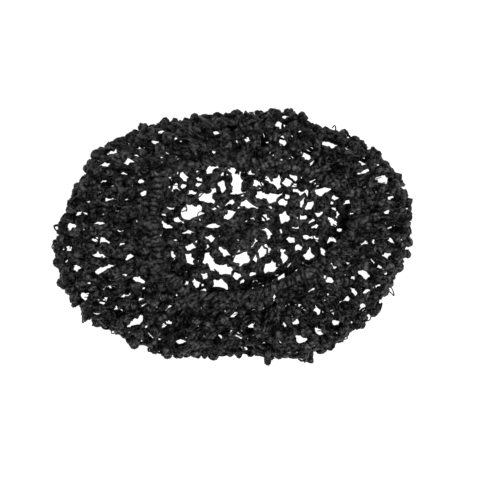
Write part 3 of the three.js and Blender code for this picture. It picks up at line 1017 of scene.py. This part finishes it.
def stray_tubes():
    """Loops that start and end at the outline, at random angles."""
    angle = np.sort(rng.uniform(0, TURN, STRAYS))
    row = (angle / TURN * pouch.ROWS).astype(int) % pouch.ROWS
    column = np.argmax(np.hypot(*pouch.points[row, :, :2].transpose(2, 0, 1)), 1)
    root = pouch.points[row, column]
    outward = unit(root * [1, 1, 0])
    sideways = np.cross(outward, UP)
    t = np.linspace(0, 1, STRAY_STEPS)[None, :, None]
    arch = np.sin(math.pi * t)
    span = rng.uniform(*STRAY_SPAN, (STRAYS, 1, 1))
    reach = rng.uniform(*STRAY_REACH, (STRAYS, 1, 1))
    lean = rng.normal(0, STRAY_LEAN, (STRAYS, 1, 1))
    paths = (
        root[:, None] + sideways[:, None] * ((t - 0.5) * span + lean * arch)
        + outward[:, None] * (STRAY_GAP + reach * arch ** STRAY_SHARPNESS)
        + UP * rng.normal(0, STRAY_DROP, (STRAYS, 1, 1)) * t
    )
    thin = np.full((STRAYS, STRAY_STEPS), STRAY_RADIUS)
    return tubes(paths, thin, thin * THIN_FLATNESS, UP, thin * 0, sides=5, closed=False)


stray_piece = make_mesh("stray_loops", [stray_tubes()], net_yarn)
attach(stray_piece, "root")
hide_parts("side_net")

# The closed centre: knots set close together, with a small eyelet.
EYELET_RADIUS = 1.6
EYELET_CLEARANCE = 1.4
FIRST_STITCH = 1.6
STITCH_TRIES = 3000
STITCH_SPACING = 3.0
STITCH_HEIGHT = 2.4
STITCH_REACH, STITCH_RADIUS = 2.2, 1.0
EDGE_CLEARANCE = 2
PAST_GAPS = 9.0  # a place past the crown, so that its gaps leave these knots alone


def centre_tubes():
    """Small knots at random spots between the eyelet and the edge of the centre."""
    spots = [np.array([EYELET_RADIUS + FIRST_STITCH, 0.0])]
    for spot in rng.uniform(-CENTRE_RADIUS, CENTRE_RADIUS, (STITCH_TRIES, 2)):
        reach = math.hypot(*spot)
        inside = EYELET_RADIUS + EYELET_CLEARANCE < reach < CENTRE_RADIUS - EDGE_CLEARANCE
        if inside and min(np.hypot(*(spot - other)) for other in spots) > STITCH_SPACING:
            spots.append(spot)
    centres = plan(np.array(spots) + built_centre, STITCH_HEIGHT)
    facing = np.tile(UP, (len(centres), 1))
    of_place = np.full(len(centres), PAST_GAPS)
    return knot_tubes(centres, facing, of_place, STITCH_REACH, STITCH_RADIUS, loops=4)


middle = make_mesh("centre_stitches", centre_tubes(), crown_yarn)
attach(middle, "root")
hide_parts("crown_centre")

# The band: tight slanted wraps over a core. Insets and lowerings set the wraps' lines and the
# core's surface in from the sides and the top of the band's solid, before the random shares. A
# wrap slants on top, and a little the other way underneath.
WRAPS = 88
WRAP_STEPS = 16
WRAP_SCATTER = 0.22
WRAP_SLANT = 0.9
WRAP_UNDERSIDE = -0.2
WRAP_INSET, WRAP_REACH = 0.9, (0.8, 1.15)
WRAP_LOWERING, WRAP_RISE = 0.6, (0.75, 1.3)
WRAP_RADIUS = (1.3, 2.1)
WRAP_DEPTH = 0.75
CORE_EVERY = 3
CORE_INSET = 1.6
CORE_LOWERING = 1.2


def along_core(table, run, spots):
    """A table along the band's closed core, read at lengths along it."""
    closed = np.concatenate([table, table[:1]])
    spots = spots % run[-1]
    return np.stack([np.interp(spots, run, closed[:, k]) for k in range(3)], -1)


def wrap_tubes(core_line, inward):
    """Closed turns of yarn round the core, a little uneven."""
    lengths = np.linalg.norm(np.roll(core_line, -1, 0) - core_line, axis=1)
    run = np.concatenate([[0], np.cumsum(lengths)])
    at = (np.arange(WRAPS) + rng.normal(0, WRAP_SCATTER, WRAPS)) / WRAPS * run[-1]
    t = np.arange(WRAP_STEPS) / WRAP_STEPS * TURN
    slant = rng.normal(0, WRAP_SLANT, (WRAPS, 1))
    wrap_at = at[:, None] + slant * np.sin(t)[None] * np.where(np.cos(t) > 0, 1, WRAP_UNDERSIDE)
    half_width = (BAND_WIDTH / 2 - WRAP_INSET) * rng.uniform(*WRAP_REACH, (WRAPS, 1, 1))
    half_depth = (BAND_THICKNESS / 2 - WRAP_LOWERING) * rng.uniform(*WRAP_RISE, (WRAPS, 1, 1))
    facing = along_core(pouch.facing[:, -1], run, wrap_at)
    paths = (
        along_core(core_line, run, wrap_at)
        + along_core(inward, run, wrap_at) * half_width * np.sin(t)[None, :, None]
        + facing * half_depth * np.cos(t)[None, :, None]
    )
    heading = unit(along_core(core_line, run, wrap_at + 1) - along_core(core_line, run, wrap_at - 1))
    width = rng.uniform(*WRAP_RADIUS, (WRAPS, 1)) * np.ones(WRAP_STEPS)
    turn = np.full(paths.shape[:2], TURN / 4)
    return tubes(paths, width, width * WRAP_DEPTH, heading, turn, sides=6, closed=True)


def core_tube(core_line):
    """The band's core, one closed flattened tube."""
    path = core_line[None, ::CORE_EVERY]
    even = np.ones(path.shape[:2])
    return tubes(
        path,
        even * (BAND_WIDTH / 2 - CORE_INSET),
        even * (BAND_THICKNESS / 2 - CORE_LOWERING),
        pouch.facing[None, ::CORE_EVERY, -1],
        even * 0,
        sides=8,
        closed=True,
    )


inward = unit(pouch.points[:, -1] - pouch.points[:, -3])
core_line = pouch.points[:, -1] + inward * BAND_WIDTH / 2
band = make_mesh("band_wraps", [wrap_tubes(core_line, inward), core_tube(core_line)], band_yarn)
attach(band, "root")
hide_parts("rim_band")

# A pale floor that is lit like a light table, in metres.
FLOOR_HALF = 3.0
FLOOR_DROP = 0.0003
FLOOR_GREY = 0.12
FLOOR_ROUGHNESS = 0.9
FLOOR_GLOW = 1.0
WHITE = (1, 1, 1, 1)


def floor_material():
    """Matt grey that glows white."""
    material = bpy.data.materials.new("floor")
    material.use_nodes = True
    inputs = material.node_tree.nodes["Principled BSDF"].inputs
    inputs["Base Color"].default_value = (FLOOR_GREY, FLOOR_GREY, FLOOR_GREY, 1)
    inputs["Roughness"].default_value = FLOOR_ROUGHNESS
    inputs["Specular IOR Level"].default_value = 0.0
    inputs["Emission Color"].default_value = WHITE
    inputs["Emission Strength"].default_value = FLOOR_GLOW
    return material


floor_mesh = bpy.data.meshes.new("floor")
floor_corners = [(-1, -1), (1, -1), (1, 1), (-1, 1)]
floor_mesh.from_pydata(
    [(FLOOR_HALF * x, FLOOR_HALF * y, 0) for x, y in floor_corners], [], [(0, 1, 2, 3)]
)
floor_mesh.materials.append(floor_material())
floor = bpy.data.objects.new("floor", floor_mesh)
floor.location.z = -FLOOR_DROP
scene = bpy.context.scene
scene.collection.objects.link(floor)

# A faint even light, a large soft key lamp above, and a weaker fill lamp from the left.
WORLD_GLOW = 0.01
LAMPS = [
    # name, place and size in metres, power in watts
    ("key", (0.24, -0.15, 0.82), 0.45, 10.3),
    ("fill", (-0.6, 0.25, 0.48), 0.4, 2.6),
]
scene.view_settings.view_transform = "Standard"
world = bpy.data.worlds.new("studio")
world.use_nodes = True
world.node_tree.nodes["Background"].inputs["Color"].default_value = WHITE
world.node_tree.nodes["Background"].inputs["Strength"].default_value = WORLD_GLOW
scene.world = world
for name, spot, size, power in LAMPS:
    lamp = bpy.data.lights.new(name, "AREA")
    lamp.size = size
    lamp.energy = power
    holder = bpy.data.objects.new(name, lamp)
    holder.location = spot
    holder.rotation_mode = "QUATERNION"
    holder.rotation_quaternion = (-Vector(spot)).to_track_quat("-Z", "Y")
    scene.collection.objects.link(holder)

# The camera looks straight down. The picture is VIEW_WIDTH across at the pouch's widest height.
VIEW_MIDDLE = np.array([10.28, -8.33])
VIEW_WIDTH = 277.8
VIEW_LEVEL = 17
CAMERA_DISTANCE = 900
SENSOR_WIDTH = 36
camera_data = bpy.data.cameras.new("camera")
camera_data.sensor_width = SENSOR_WIDTH
camera_data.lens = SENSOR_WIDTH * CAMERA_DISTANCE / VIEW_WIDTH
camera = bpy.data.objects.new("camera", camera_data)
camera.location = (*((VIEW_MIDDLE + shift) * MM), (VIEW_LEVEL + CAMERA_DISTANCE) * MM)
scene.collection.objects.link(camera)
scene.camera = camera
